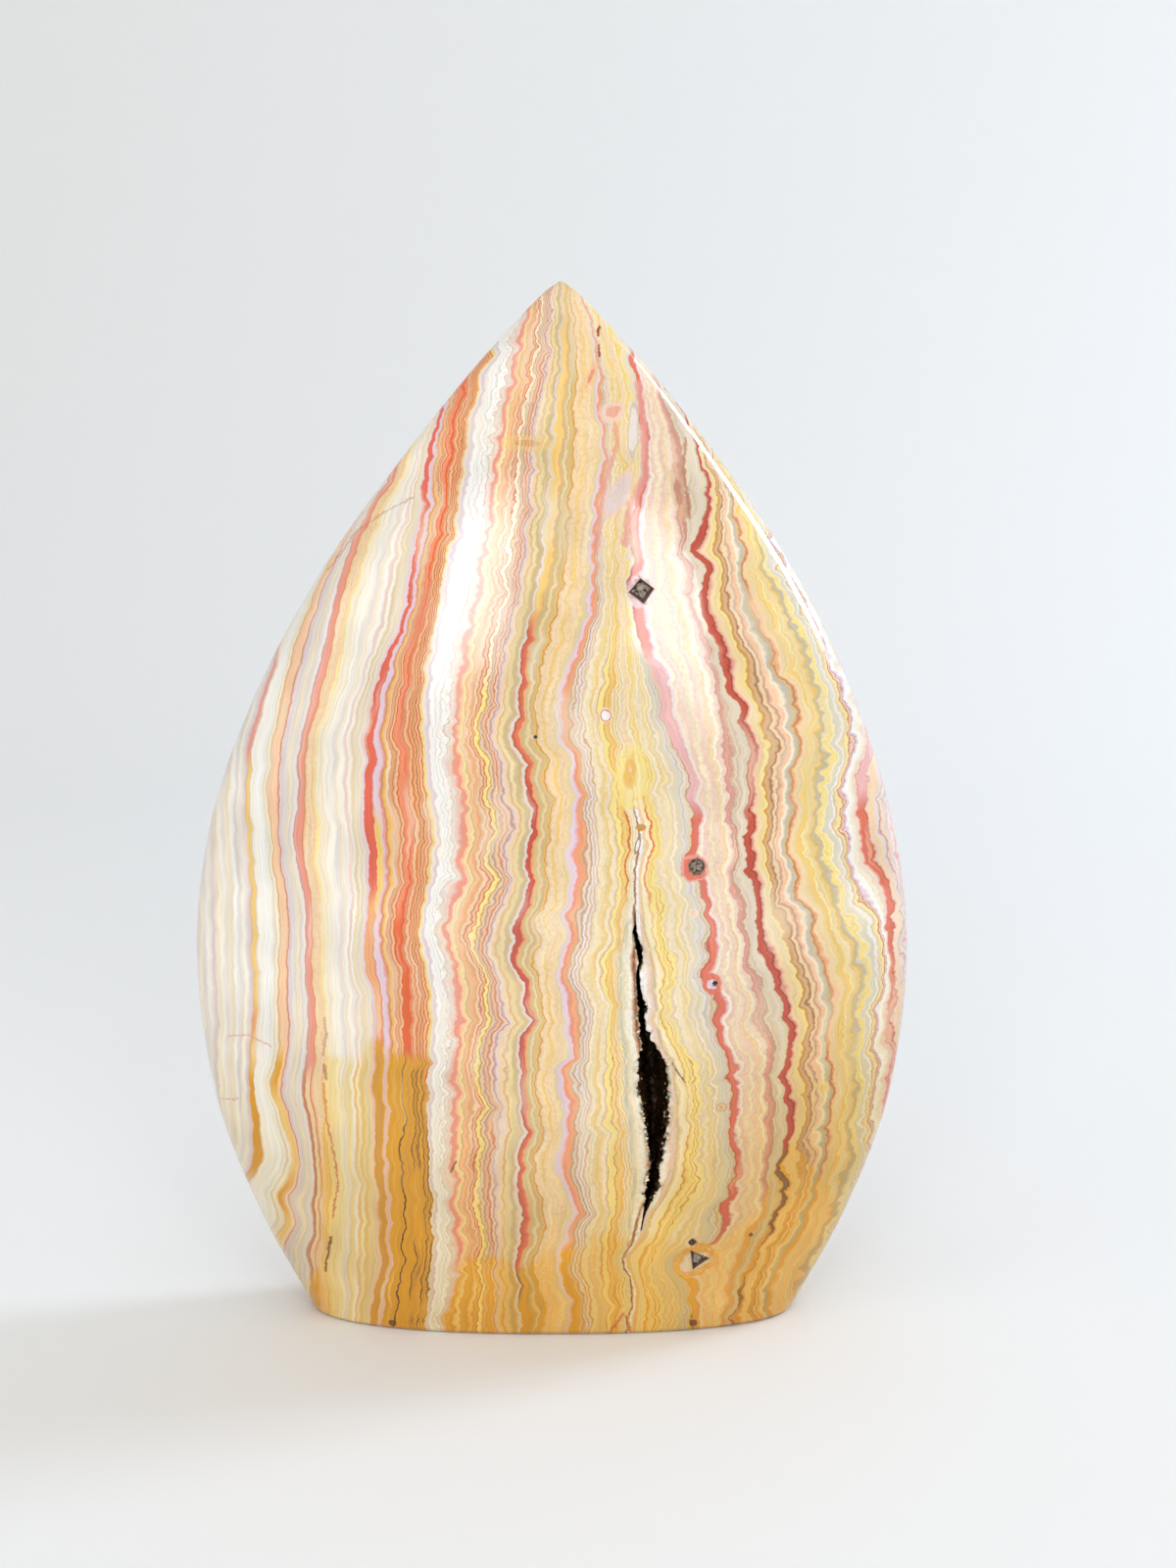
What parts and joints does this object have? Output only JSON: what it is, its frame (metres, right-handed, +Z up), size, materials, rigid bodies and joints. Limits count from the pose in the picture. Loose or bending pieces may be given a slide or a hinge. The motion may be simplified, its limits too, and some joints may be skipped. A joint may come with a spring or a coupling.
{
  "type": "polished agate flame",
  "caption": "Free-standing polished stone flame of banded crazy lace agate, flat sawn foot, sharp tip and a crystal-lined fissure in its broad face.",
  "frame": {"origin": "centre of the flat sawn foot, at the middle of the stone's width and thickness", "axes": "+Z up to the tip, +X to the right across the broad face, -Y out of the face with the fissure"},
  "size_m": [0.076, 0.026, 0.11],
  "materials": {
    "polished_agate": "polished, banded cream, salmon red, ochre and lilac grey",
    "quartz_druse": "fine sparkling white to grey-green quartz crystals"
  },
  "bodies": {
    "root": {"agate_flame": "polished_agate", "fissure_druse": "quartz_druse"}
  },
  "joints": []
}
